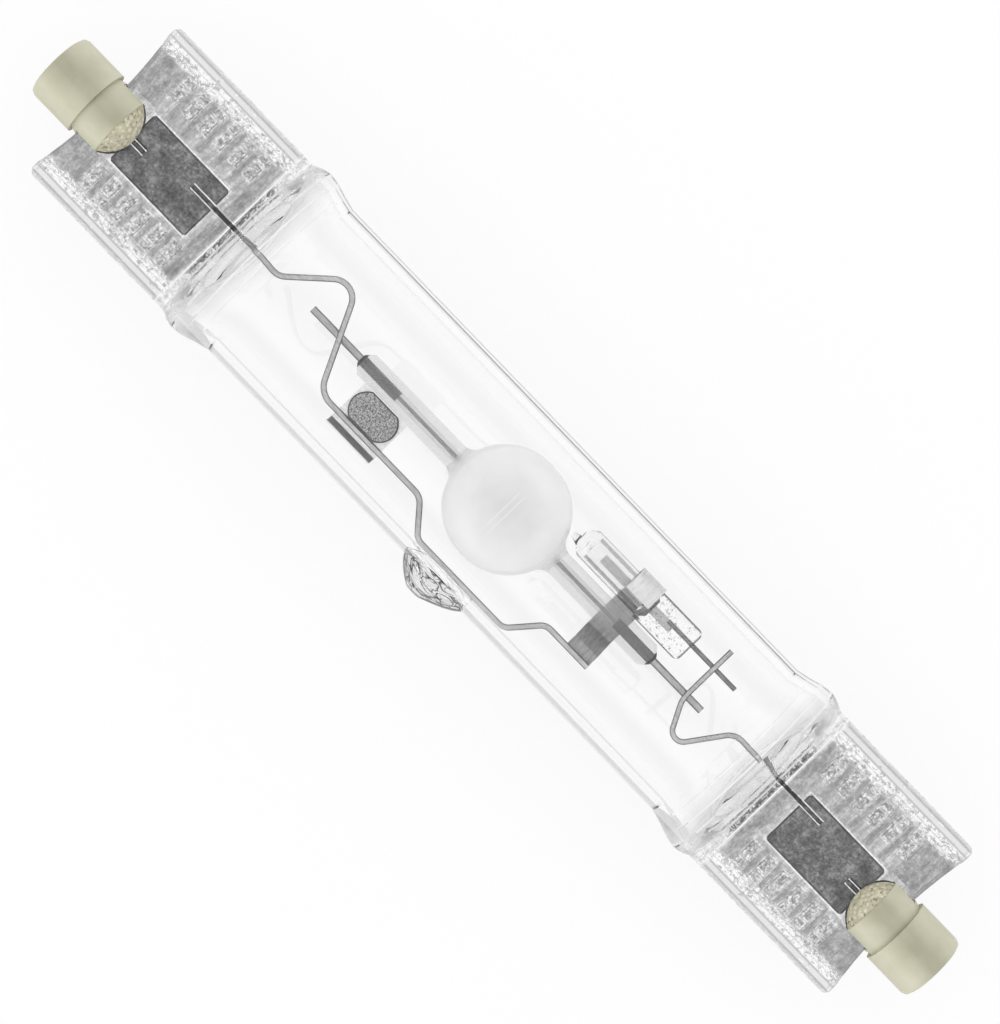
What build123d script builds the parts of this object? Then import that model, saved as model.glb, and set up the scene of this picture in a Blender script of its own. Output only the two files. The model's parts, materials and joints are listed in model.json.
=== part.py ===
from build123d import *
import os
from math import cos, log, pi, sin, sqrt

# A double ended metal halide lamp, in millimetres.
# The origin is the middle of the cap axis. +X runs to the right cap, +Y lies in the
# plane of the flat pinches and +Z is square to them. Left pieces mirror right ones
# wherever the lamp is symmetric.

os.makedirs("parts", exist_ok=True)

# Overall size
overall_length = 135.4  # cap rim to cap rim
touch = 0.02  # bedding clearance between pieces that lie on each other

# Ceramic caps
cap_radius = 4.15
cap_head_length = 5.9
cap_neck_radius = 3.65  # where the neck, tapering from the skirt, meets the head
cap_neck_length = 1.2
cap_skirt_radius = 3.95
cap_skirt_length = 2.6
cap_edge_round = 0.7  # cut as two flats
cap_flat_share = 0.3  # where the two flats meet
lead_hole_radius = 0.8

# Contacts, at the bottom of a recess in each cap
recess_radius = 2.4
recess_depth = 1.7
contact_radius = 1.95
contact_thickness = 1.1
contact_crown = 0.35  # how far the middle of the button stands above its edge
contact_fit = 0.05

# Quartz jacket
tube_radius = 10.8
tube_wall = 1.4
tube_y = 1.1  # the tube sits a little off the cap axis
shoulder_length = 7.1
shoulder_swell = 1.1  # the squeezed tube bulges sideways by this
shoulder_crest = 0.62  # share of the shoulder where it bulges most
shoulder_rings = 8
hollow_flat = 0.5  # half height of the hollow where the pinch closes it
cavity_end_radius = 22.0  # the pinched end of the hollow is a shallow arc in plan
cavity_end_gap = 3.8  # from the middle of that arc to the start of the pinch

# Press seals, called pinches
pinch_length = 20.0
pinch_width = 22.5
pinch_thickness = 3.5
pinch_y = 0.95
pinch_to_head = 0.4  # gap between the pinch corners and the cap head
pinch_corner_round = 0.8
pinch_end_hollow = 60.0  # radius of the shallow hollow in the pinch end
pinch_end_dip = 0.75
bead_width = 1.7
bead_round = 1.4
bead_slope = 0.9
web_thickness = 2.4
web_start = 0.5  # from the start of the pinch to the thin web

# Waffle pattern pressed into the web
column_pitch = 2.3
column_count = 6
column_start = 2.5  # from the start of the pinch to the first column
column_width = 1.65
column_height = 0.12
pad_length = 1.2
pad_height = 0.22
pad_taper = 12
large_pad_width = 1.9
small_pad_width = 0.8
large_pad_offset = 6.0  # from the middle of the pinch
small_pad_offset = 7.75
plateau_margin = 0.45  # raised flat over the foil, wider than the foil by this

# Molybdenum foils and the leads welded on them
foil_length = 11.6
foil_width = 6.9
foil_thickness = 0.06
foil_y = 0.3
foil_start = 3.5  # from the start of the pinch
foil_corner = 0.3
outer_lead_diameter = 0.66
outer_lead_overlap = 2.2
inner_weld_overlap = 3.2
foil_gap = 0.02  # room for a foil in the glass
lead_gap = 0.08  # quartz shrinks back from a lead by this

# Cement between cap and pinch
cement_gap = 0.3
cement_radius = 3.75
cement_reach = 2.3

# Ceramic arc tube
arc_x = 0.3
arc_y = 1.43
ball_diameter = 13.65
ball_wall = 0.8
seam_width = 0.7  # plain band where the two halves of the ball join
seam_height = 0.06
capillary_diameter = 3.0
capillary_bore = 1.24  # wider than the pin, which the frit seals in
capillary_reach = 22.2  # from the middle of the ball to each end
capillary_end_chamfer = 0.55
ball_neck_round = 1.6

# Feedthroughs, from the outside in
pin_diameter = 0.86
pin_outer_length = 7.8
pin_inner_length = 5.4
frit_collar_radius = 0.95
frit_collar_length = 0.35
rod_diameter = 0.42
electrode_diameter = 0.5
electrode_gap = 9.0
electrode_length = 4.6
coil_wire = 0.22
coil_wire_sides = 4
coil_pitch = 0.26
coil_turns = 5
coil_tip = 0.45  # bare tip of the electrode beyond its coil

# Doses in the ball
mercury_diameter = 1.3
pellet_diameter = 0.8
pellet_height = 0.5
pellet_count = 3
pellet_gap = 0.15

# Frame wire, from the left foil to the ignition strip
frame_wire_diameter = 0.68
foil_weld_y = 1.3
upper_rail_y = -4.25
lower_rail_y = -7.7
strip_rail_y = -4.12
hump_middle = 0.531  # place of the hump's top, as a share of the run over the pin
hump_rise = 0.482  # its height over the weld, as a share of that run
hump_bend = 0.1725  # radius of its bend, as a share of that run

# Short wire, from the right foil across the pin and the bottle's lead
short_wire_diameter = 0.62
short_weld_y = 2.3
short_dip_y = -3.7
short_top_y = 8.2
crossing_share = 0.462  # where it crosses, as a share of the room beyond the tube
dip_share = 0.203  # how far its dip lies beyond the crossing, as a share of that room
dip_bend = 0.1017  # radius of the dip's bend, as a share of that room

# Getter
getter_place = 0.378  # along the upper rail, from its start
getter_width = 6.5
getter_top_y = -0.12
getter_bottom_y = -5.15
getter_sheet = 0.16
getter_flange = 1.1
getter_lean = 0.6  # the flange's edge stands this far outside its bend
getter_bend = 0.4
tablet_length = 6.1
tablet_oval = 4.8
tablet_width = 3.76
tablet_thickness = 0.9
tablet_chamfer = 0.15
tablet_y = -1.98

# Glow bottle
bottle_start_x = 7.9
bottle_body_length = 10.9
bottle_cone_length = 1.1
bottle_wall_end = 1.2
bottle_diameter = 3.65
bottle_bore = 2.2
bottle_y = 5.25
bottle_pinch_length = 5.8
bottle_pinch_width = 4.2
bottle_pinch_thickness = 1.9
bottle_nub_length = 0.85
bottle_nub_radius = 0.75
bottle_nub_offset = 0.5
bottle_nub_root = 0.6  # the nub starts this far inside the bottle's end
bottle_nub_taper = 18
bottle_press_overlap = 1.0
bottle_press_round = 0.7
glow_foil_length = 10.6
glow_foil_width = 1.1
glow_foil_inset = 3.3  # from the start of the bottle
glow_lead_diameter = 0.55
glow_lead_overlap = 0.9
glow_lead_stub = 3.25  # beyond the short wire
glow_lead_y = 5.6

# Ignition strip
strip_x = 16.75
strip_width = 3.35
strip_sheet = 0.12
strip_bottom_y = -4.45
strip_top_y = 7.7
strip_front_y = 4.85
strip_round = 1.6

# Exhaust tip on the side of the tube
tip_x = 0.4
tip_height = 2.35
tip_half_length = 4.7
tip_half_width = 4.2
tip_lean = 0.85  # the crest stands this far towards the left of the foot
tip_round = 0.35

# Places along the lamp
cap_end_x = overall_length / 2
head_x = cap_end_x - cap_head_length
neck_x = head_x - cap_neck_length
skirt_x = neck_x - cap_skirt_length
pinch_end_x = head_x - pinch_to_head
pinch_x = pinch_end_x - pinch_length
shoulder_x = pinch_x - shoulder_length
web_x = pinch_x + web_start
cavity_end_x = pinch_x - cavity_end_gap
foil_x = pinch_x + foil_start
foil_end_x = foil_x + foil_length
outer_lead_x = foil_end_x - outer_lead_overlap
contact_x = cap_end_x - recess_depth
contact_back_x = contact_x - contact_thickness
pinch_face_x = pinch_end_x - pinch_end_dip
slot_end_x = pinch_face_x + cement_gap

# Places across the lamp
tube_inner_radius = tube_radius - tube_wall
web_top = web_thickness / 2
plateau_top = web_top + column_height
slot_half_height = plateau_top + cement_gap
frame_wire_radius = frame_wire_diameter / 2
short_wire_radius = short_wire_diameter / 2
pin_radius = pin_diameter / 2
frame_z = pin_radius + frame_wire_radius + touch
short_z = pin_radius + short_wire_radius + touch
outer_lead_z = outer_lead_diameter / 2 + touch
left_tube_end_x = arc_x - capillary_reach
right_tube_end_x = arc_x + capillary_reach
crest_power = log(0.5) / log(shoulder_crest)


# Right pinch and shoulder, solid glass


def bead_groove(top_sign):
    """The hollow between the two beads, above or below the web, as seen from the end."""
    inner = pinch_width / 2 - bead_width - bead_slope
    outer = pinch_width / 2 - bead_width
    surface = top_sign * (pinch_thickness / 2 + 1)
    edge = top_sign * pinch_thickness / 2
    web = top_sign * web_top
    return [
        (pinch_y - outer, surface),
        (pinch_y - outer, edge),
        (pinch_y - inner, web),
        (pinch_y + inner, web),
        (pinch_y + outer, edge),
        (pinch_y + outer, surface),
    ]


with BuildPart() as pinch:
    with BuildSketch(Plane.YZ.offset(pinch_x - 1)):
        with Locations((pinch_y, 0)):
            RectangleRounded(pinch_width, pinch_thickness, bead_round)
    extrude(amount=pinch_length + 1)
    with BuildSketch(Plane.XY.offset(-pinch_thickness)) as pinch_plan:
        with Locations((pinch_end_x, pinch_y)):
            Rectangle(2 * pinch_length + 2, pinch_width, align=(Align.MAX, Align.CENTER))
        fillet(pinch_plan.vertices().group_by(Axis.X)[-1], radius=pinch_corner_round)
        with Locations((pinch_end_x - pinch_end_dip + pinch_end_hollow, pinch_y)):
            Circle(pinch_end_hollow, mode=Mode.SUBTRACT)
    extrude(amount=2 * pinch_thickness, mode=Mode.INTERSECT)
    with BuildSketch(Plane.YZ.offset(web_x)):
        Polygon(*bead_groove(1), align=None)
        Polygon(*bead_groove(-1), align=None)
    extrude(amount=pinch_length, mode=Mode.SUBTRACT)
    # Ribs and the flat over the foil, then the pads on the ribs, on one face
    rib_reach = small_pad_offset + small_pad_width / 2 + 0.2
    plateau_length = pinch_face_x - foil_x - 0.3
    with BuildSketch(Plane.XY.offset(web_top)):
        with Locations((pinch_x + column_start, pinch_y)):
            with GridLocations(
                column_pitch, 1, column_count, 1, align=(Align.MIN, Align.CENTER)
            ):
                Rectangle(column_width, 2 * rib_reach, align=(Align.MIN, Align.CENTER))
        with Locations((foil_x - plateau_margin, foil_y)):
            Rectangle(
                plateau_length,
                foil_width + 2 * plateau_margin,
                align=(Align.MIN, Align.CENTER),
            )
    ribs = extrude(amount=column_height)
    with BuildSketch(Plane.XY.offset(plateau_top)):
        for pad_side in (1, -1):
            with Locations((pinch_x + column_start + 0.2, pinch_y + pad_side * large_pad_offset)):
                with GridLocations(
                    column_pitch, 1, column_count, 1, align=(Align.MIN, Align.CENTER)
                ):
                    Rectangle(pad_length, large_pad_width, align=(Align.MIN, Align.CENTER))
            with Locations((pinch_x + column_start + 0.2, pinch_y + pad_side * small_pad_offset)):
                with GridLocations(
                    column_pitch, 1, column_count, 1, align=(Align.MIN, Align.CENTER)
                ):
                    Rectangle(pad_length, small_pad_width, align=(Align.MIN, Align.CENTER))
    pads = extrude(amount=pad_height, taper=pad_taper)
    mirror([ribs, pads], about=Plane.XY)


def shoulder_ovals(radius, flat_height):
    """Place, middle, half width and half height of each ring from the tube to the pinch."""
    ovals = []
    for ring in range(shoulder_rings):
        turn = pi / 2 * ring / (shoulder_rings - 1)
        share = sin(turn)
        swell = sin(pi * share**crest_power)
        ovals.append(
            (
                shoulder_x + shoulder_length * share,
                tube_y + (pinch_y - tube_y) * share,
                radius + shoulder_swell * swell,
                flat_height + (radius - flat_height) * cos(turn) ** 1.2,
            )
        )
    return ovals


with BuildPart() as shoulder:
    for oval_x, middle_y, half_width, half_height in shoulder_ovals(
        tube_radius, pinch_thickness / 2
    ):
        with BuildSketch(Plane.YZ.offset(oval_x)):
            with Locations((middle_y, 0)):
                Ellipse(half_width, half_height)
    loft(ruled=True)

with BuildPart() as shoulder_hollow:
    for oval_x, middle_y, half_width, half_height in shoulder_ovals(
        tube_inner_radius, hollow_flat
    ):
        with BuildSketch(Plane.YZ.offset(oval_x)):
            with Locations((middle_y, 0)):
                Ellipse(half_width, half_height)
    loft(ruled=True)
    with BuildSketch(Plane.XY.offset(-tube_radius)):
        with Locations((cavity_end_x + cavity_end_radius, tube_y)):
            Circle(cavity_end_radius)
    extrude(amount=2 * tube_radius, mode=Mode.SUBTRACT)

# Foils and leads in the right pinch

with BuildPart() as right_foil:
    with BuildSketch(Plane.XY.offset(-foil_thickness)) as foil_plan:
        with Locations((foil_x, foil_y)):
            Rectangle(foil_length, foil_width, align=(Align.MIN, Align.CENTER))
        chamfer(foil_plan.vertices(), length=foil_corner)
    extrude(amount=foil_thickness)

with BuildPart() as right_outer_lead:
    with BuildSketch(Plane(origin=(outer_lead_x, 0, outer_lead_z), z_dir=(1, 0, 0))):
        Circle(outer_lead_diameter / 2)
    extrude(amount=contact_back_x - outer_lead_x)


def bent_wire(points, bends, diameter):
    """A round wire, or the room for one, along straight runs joined by tangent bends."""
    with BuildPart() as wire:
        with BuildLine() as route:
            FilletPolyline(*points, radius=bends)
        with BuildSketch(Plane(origin=route.line @ 0, z_dir=route.line % 0)):
            Circle(diameter / 2)
        sweep()
    return wire.part


def bent_strip(start_x, width, points, bends, sheet):
    """A flat ribbon, width along X, folded along a route in the plane across the lamp."""
    with BuildPart() as strip:
        with BuildLine(Plane.YZ.offset(start_x + width / 2)) as route:
            FilletPolyline(*points, radius=bends)
        across = route.line % 0
        with BuildSketch(Plane(origin=route.line @ 0, x_dir=(1, 0, 0), z_dir=across)):
            Rectangle(width, sheet)
        sweep()
    return strip.part


# Long frame wire: a hump over the pin, then three rails past the ball
frame_weld_z = frame_wire_radius + touch
hump_x = -shoulder_x - 0.5
rail_x = left_tube_end_x - 0.73
rail_end_x = arc_x - 7.5
hump_run = rail_x - hump_x
frame_points = [
    (-foil_x - inner_weld_overlap, foil_weld_y, frame_weld_z),
    (-cavity_end_x + 0.7, foil_weld_y, frame_weld_z),
    (hump_x, foil_weld_y - 0.2, frame_z),
    (hump_x + hump_middle * hump_run, foil_weld_y + hump_rise * hump_run, frame_z),
    (rail_x, upper_rail_y, frame_z),
    (rail_end_x, upper_rail_y, frame_z),
    (arc_x - 4.4, lower_rail_y, frame_z),
    (arc_x + 8.8, lower_rail_y, frame_z),
    (arc_x + 11.8, strip_rail_y, frame_z),
    (strip_x + strip_width / 2, strip_rail_y, frame_z),
]
frame_bends = [3, 2, hump_bend * hump_run, 2.5, 2, 1.5, 1.5, 1.5]
with BuildPart() as frame_wire:
    add(bent_wire(frame_points, frame_bends, frame_wire_diameter))

# Short wire: dips below the pin, then stands straight across pin and bottle lead
short_weld_z = short_wire_radius + touch
crossing_room = shoulder_x - right_tube_end_x
cross_x = right_tube_end_x + crossing_share * crossing_room
short_points = [
    (foil_x + inner_weld_overlap - 0.2, short_weld_y, short_weld_z),
    (cavity_end_x - 0.6, short_weld_y, short_weld_z),
    (shoulder_x + 0.3, short_weld_y + 0.05, short_z),
    (cross_x + dip_share * crossing_room, short_dip_y, short_z),
    (cross_x, arc_y - 0.6, short_z),
    (cross_x, short_top_y, short_z),
]
short_bends = [3, 2, dip_bend * crossing_room, 3]
with BuildPart() as short_wire:
    add(bent_wire(short_points, short_bends, short_wire_diameter))

# The jacket: tube, shoulders, pinches and exhaust tip in one piece of quartz

tube_bottom_y = tube_y - tube_radius
with BuildPart() as exhaust_tip:
    tip_rings = [
        (-tip_height, 1.04, 0.0),
        (-0.35, 1.0, 0.0),
        (0.30 * tip_height, 0.80, 0.25),
        (0.72 * tip_height, 0.47, 0.70),
        (tip_height, 0.17, 1.0),
    ]
    for ring_height, ring_scale, ring_lean in tip_rings:
        with BuildSketch(Plane.XZ.offset(ring_height - tube_bottom_y)):
            with Locations((tip_x - tip_lean * ring_lean, 0)):
                Ellipse(tip_half_length * ring_scale, tip_half_width * ring_scale)
    loft()
    fillet(exhaust_tip.edges().group_by(Axis.Y)[0], radius=tip_round)

with BuildPart() as outer_jacket:
    with BuildSketch(Plane.YZ.offset(-shoulder_x)):
        with Locations((tube_y, 0)):
            Circle(tube_radius)
    extrude(amount=2 * shoulder_x)
    add(exhaust_tip.part)
    add(shoulder.part)
    add(pinch.part)
    mirror([shoulder.part, pinch.part], about=Plane.YZ)
    # The hollow for the arc tube and its frame
    with BuildSketch(Plane.YZ.offset(-shoulder_x)):
        with Locations((tube_y, 0)):
            Circle(tube_inner_radius)
    extrude(amount=2 * shoulder_x, mode=Mode.SUBTRACT)
    add(shoulder_hollow.part, mode=Mode.SUBTRACT)
    mirror(shoulder_hollow.part, about=Plane.YZ, mode=Mode.SUBTRACT)
    # Room for the foils, and the narrow gap that the quartz leaves round each lead
    with BuildSketch(Plane.XY.offset(-foil_thickness - foil_gap)):
        for foil_side in (1, -1):
            with Locations((foil_side * (foil_x + foil_length / 2), foil_y)):
                Rectangle(foil_length + 2 * foil_gap, foil_width + 2 * foil_gap)
    extrude(amount=foil_thickness + 2 * foil_gap, mode=Mode.SUBTRACT)
    with BuildSketch(Plane.YZ.offset(outer_lead_x - lead_gap)):
        with Locations((0, outer_lead_z)):
            Circle(outer_lead_diameter / 2 + lead_gap)
    lead_room = extrude(amount=pinch_length, mode=Mode.SUBTRACT)
    mirror(lead_room, about=Plane.YZ, mode=Mode.SUBTRACT)
    for points, bends, end_gap, diameter in (
        (frame_points, frame_bends, -lead_gap, frame_wire_diameter),
        (short_points, short_bends, lead_gap, short_wire_diameter),
    ):
        room_start = (points[0][0] + end_gap, points[0][1], points[0][2])
        room_points = [room_start] + points[1:4]
        add(bent_wire(room_points, bends[:2], diameter + 2 * lead_gap), mode=Mode.SUBTRACT)

# Caps, cement and contacts

cap_flat = cap_flat_share * cap_edge_round
with BuildPart() as right_cap:
    with BuildSketch(Plane.XZ):
        with BuildLine():
            Polyline(
                (skirt_x, 0),
                (skirt_x, cap_skirt_radius),
                (neck_x, cap_skirt_radius),
                (head_x, cap_neck_radius),
                (head_x, cap_radius),
                (cap_end_x - cap_edge_round, cap_radius),
                (cap_end_x - cap_flat, cap_radius - cap_flat),
                (cap_end_x, cap_radius - cap_edge_round),
                (cap_end_x, 0),
                close=True,
            )
        make_face()
    revolve(axis=Axis.X)
    # Recess, seat of the contact and the lead's hole
    with BuildSketch(Plane.YZ.offset(cap_end_x)):
        Circle(recess_radius)
    extrude(amount=-recess_depth, mode=Mode.SUBTRACT)
    with BuildSketch(Plane.YZ.offset(contact_x)):
        Circle(contact_radius + contact_fit)
    extrude(amount=-contact_thickness, mode=Mode.SUBTRACT)
    with BuildSketch(Plane.YZ.offset(contact_back_x)):
        Circle(lead_hole_radius)
    extrude(amount=skirt_x - contact_back_x, mode=Mode.SUBTRACT)
    # The slot that straddles the pinch
    with BuildSketch(Plane.XZ):
        with Locations((slot_end_x, 0)):
            Rectangle(
                2 * cap_skirt_length,
                2 * slot_half_height,
                align=(Align.MAX, Align.CENTER),
            )
    extrude(amount=cap_radius + 1, both=True, mode=Mode.SUBTRACT)

with BuildPart() as right_cement:
    # A blunt dome in front of the cap, and the filling of its slot
    dome_radius = (cement_radius**2 + cement_reach**2) / (2 * cement_reach)
    with BuildSketch(Plane.XZ):
        with BuildLine():
            Line((skirt_x, 0), (skirt_x, cement_radius))
            RadiusArc((skirt_x, cement_radius), (skirt_x - cement_reach, 0), -dome_radius)
            Line((skirt_x - cement_reach, 0), (skirt_x, 0))
        make_face()
    revolve(axis=Axis.X)
    with BuildSketch(Plane.YZ.offset(skirt_x)):
        Circle(cement_radius)
        Rectangle(2 * cap_radius, 2 * slot_half_height, mode=Mode.INTERSECT)
    extrude(amount=slot_end_x - skirt_x)
    add(pinch.part, mode=Mode.SUBTRACT)
    with BuildSketch(Plane.YZ.offset(pinch_face_x - 0.5)):
        with Locations((0, outer_lead_z)):
            Circle(outer_lead_diameter / 2)
    extrude(amount=cap_skirt_length, mode=Mode.SUBTRACT)

with BuildPart() as right_contact:
    crown_radius = (contact_radius**2 + contact_crown**2) / (2 * contact_crown)
    with BuildSketch(Plane.XZ):
        with BuildLine():
            Line((contact_back_x, 0), (contact_back_x, contact_radius))
            Line((contact_back_x, contact_radius), (contact_x - contact_crown, contact_radius))
            RadiusArc((contact_x - contact_crown, contact_radius), (contact_x, 0), crown_radius)
            Line((contact_x, 0), (contact_back_x, 0))
        make_face()
    revolve(axis=Axis.X)

# Left pieces of the ends

with BuildPart() as left_foil:
    mirror(right_foil.part, about=Plane.YZ)

with BuildPart() as left_outer_lead:
    mirror(right_outer_lead.part, about=Plane.YZ)

with BuildPart() as left_cap:
    mirror(right_cap.part, about=Plane.YZ)

with BuildPart() as left_cement:
    mirror(right_cement.part, about=Plane.YZ)

with BuildPart() as left_contact:
    mirror(right_contact.part, about=Plane.YZ)

# Arc tube: two half balls joined by a plain band, with a capillary at each end

arc_plane = Plane(origin=(arc_x, arc_y, 0), x_dir=(1, 0, 0), z_dir=(0, 0, 1))
arc_axis = Axis((arc_x, arc_y, 0), (1, 0, 0))

with BuildPart() as arc_tube:
    with BuildSketch(arc_plane) as shell_section:
        Rectangle(2 * capillary_reach, capillary_diameter)
        chamfer(shell_section.vertices(), length=capillary_end_chamfer)
        with GridLocations(seam_width, 1, 2, 1):
            Circle(ball_diameter / 2)
        Rectangle(seam_width, ball_diameter + 2 * seam_height)
        with Locations((0, -ball_diameter)):
            Rectangle(3 * capillary_reach, 2 * ball_diameter, mode=Mode.SUBTRACT)
    revolve(axis=arc_axis)
    neck_edges = (
        arc_tube.edges()
        .filter_by(GeomType.CIRCLE)
        .filter_by(lambda edge: abs(edge.radius - capillary_diameter / 2) < 1e-4)
        .group_by(lambda edge: abs(edge.center().X - arc_x))
    )
    fillet(neck_edges[0], radius=ball_neck_round)
    with BuildSketch(arc_plane):
        with GridLocations(seam_width, 1, 2, 1):
            Circle(ball_diameter / 2 - ball_wall)
        Rectangle(seam_width, ball_diameter - 2 * ball_wall)
        Rectangle(3 * capillary_reach, capillary_bore)
        with Locations((0, -ball_diameter)):
            Rectangle(4 * capillary_reach, 2 * ball_diameter, mode=Mode.SUBTRACT)
    revolve(axis=arc_axis, mode=Mode.SUBTRACT)


def round_bar(start_x, end_x, diameter):
    """A round bar on the arc tube's axis."""
    with BuildPart() as bar:
        with BuildSketch(Plane(origin=(start_x, arc_y, 0), z_dir=(1, 0, 0))):
            Circle(diameter / 2)
        extrude(amount=end_x - start_x)
    return bar.part


pin_end_x = right_tube_end_x - pin_inner_length
electrode_tip_x = arc_x + electrode_gap / 2
electrode_back_x = electrode_tip_x + electrode_length
arc_middle = Plane.YZ.offset(arc_x)

with BuildPart() as right_niobium_pin:
    add(round_bar(pin_end_x, right_tube_end_x + pin_outer_length, pin_diameter))

with BuildPart() as right_feedthrough_rod:
    add(round_bar(electrode_back_x, pin_end_x, rod_diameter))

with BuildPart() as right_electrode:
    add(round_bar(electrode_tip_x, electrode_back_x, electrode_diameter))
    chamfer(right_electrode.edges().group_by(Axis.X)[0], length=electrode_diameter / 4)

with BuildPart() as right_electrode_coil:
    coil_radius = (electrode_diameter + coil_wire) / 2 + touch
    with BuildLine() as coil_line:
        Helix(
            coil_pitch,
            coil_pitch * coil_turns,
            coil_radius,
            center=(electrode_tip_x + coil_tip, arc_y, 0),
            direction=(1, 0, 0),
        )
    coil_start = Plane(origin=coil_line.line @ 0, x_dir=(1, 0, 0), z_dir=coil_line.line % 0)
    with BuildSketch(coil_start):
        RegularPolygon(coil_wire / 2, coil_wire_sides)
    sweep(is_frenet=True)

with BuildPart() as right_frit_seal:
    seal_plane = Plane(origin=(right_tube_end_x, arc_y, 0), x_dir=(1, 0, 0), z_dir=(0, 0, 1))
    with BuildSketch(seal_plane):
        with BuildLine():
            Polyline(
                (-pin_inner_length, pin_radius),
                (-pin_inner_length, capillary_bore / 2),
                (0, capillary_bore / 2),
                (0, frit_collar_radius),
                (frit_collar_length, pin_radius + 0.12),
                (frit_collar_length, pin_radius),
                close=True,
            )
        make_face()
    revolve(axis=arc_axis)

with BuildPart() as left_niobium_pin:
    mirror(right_niobium_pin.part, about=arc_middle)

with BuildPart() as left_feedthrough_rod:
    mirror(right_feedthrough_rod.part, about=arc_middle)

with BuildPart() as left_electrode:
    mirror(right_electrode.part, about=arc_middle)

with BuildPart() as left_electrode_coil:
    mirror(right_electrode_coil.part, about=arc_middle)

with BuildPart() as left_frit_seal:
    mirror(right_frit_seal.part, about=arc_middle)

# Doses lying at the bottom of the ball

ball_floor = ball_diameter / 2 - ball_wall


def floor_height(offset):
    """Height just above the floor of the arc tube, offset along X from its middle."""
    return -sqrt(ball_floor**2 - max(offset - seam_width / 2, 0) ** 2) + touch


with BuildPart() as mercury_bead:
    with Locations((arc_x, arc_y, floor_height(0) + mercury_diameter / 2)):
        Sphere(mercury_diameter / 2)

with BuildPart() as halide_pellets:
    first_pellet_x = (mercury_diameter + pellet_diameter) / 2 + pellet_gap
    for pellet in range(pellet_count):
        pellet_x = first_pellet_x + pellet * (pellet_diameter + pellet_gap)
        pellet_z = floor_height(pellet_x + pellet_diameter / 2)
        with Locations((arc_x + pellet_x, arc_y, pellet_z)):
            Cylinder(
                pellet_diameter / 2,
                pellet_height,
                align=(Align.CENTER, Align.CENTER, Align.MIN),
            )

# Getter on the frame wire

getter_x = rail_x + getter_place * (rail_end_x - rail_x)
plate_z = frame_z - frame_wire_radius - getter_sheet / 2 - touch
getter_route = [
    (getter_top_y, plate_z),
    (getter_bottom_y, plate_z),
    (getter_bottom_y - getter_lean, plate_z + getter_flange),
]
with BuildPart() as getter_holder:
    add(
        bent_strip(
            getter_x - getter_width / 2, getter_width, getter_route, [getter_bend], getter_sheet
        )
    )

with BuildPart() as getter_tablet:
    with BuildSketch(Plane.XY.offset(plate_z + getter_sheet / 2)):
        with Locations((getter_x, tablet_y)):
            Ellipse(tablet_length / 2, tablet_oval / 2)
            Rectangle(2 * tablet_length, tablet_width, mode=Mode.INTERSECT)
    extrude(amount=tablet_thickness)
    chamfer(getter_tablet.edges().group_by(Axis.Z)[-1], length=tablet_chamfer)

# Glow bottle with its foil and lead

glow_lead_radius = glow_lead_diameter / 2
glow_lead_z = short_z - short_wire_radius - glow_lead_radius - touch
bottle_z = glow_lead_z - glow_lead_radius - touch
bottle_radius = bottle_diameter / 2
bottle_bore_radius = bottle_bore / 2
bottle_end_x = bottle_start_x + bottle_body_length
bottle_plane = Plane(origin=(bottle_start_x, bottle_y, bottle_z), x_dir=(1, 0, 0), z_dir=(0, 0, 1))
bottle_axis = Axis((bottle_start_x, bottle_y, bottle_z), (1, 0, 0))
glow_foil_x = bottle_start_x + glow_foil_inset

with BuildPart() as glow_foil:
    with BuildSketch(Plane.XY.offset(bottle_z - foil_thickness)):
        with Locations((glow_foil_x, bottle_y)):
            Rectangle(glow_foil_length, glow_foil_width, align=(Align.MIN, Align.CENTER))
    extrude(amount=foil_thickness)

glow_lead_x = glow_foil_x + glow_foil_length - glow_lead_overlap
with BuildPart() as glow_lead:
    with BuildSketch(Plane(origin=(glow_lead_x, glow_lead_y, glow_lead_z), z_dir=(1, 0, 0))):
        Circle(glow_lead_radius)
    extrude(amount=cross_x + glow_lead_stub - glow_lead_x)

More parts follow.
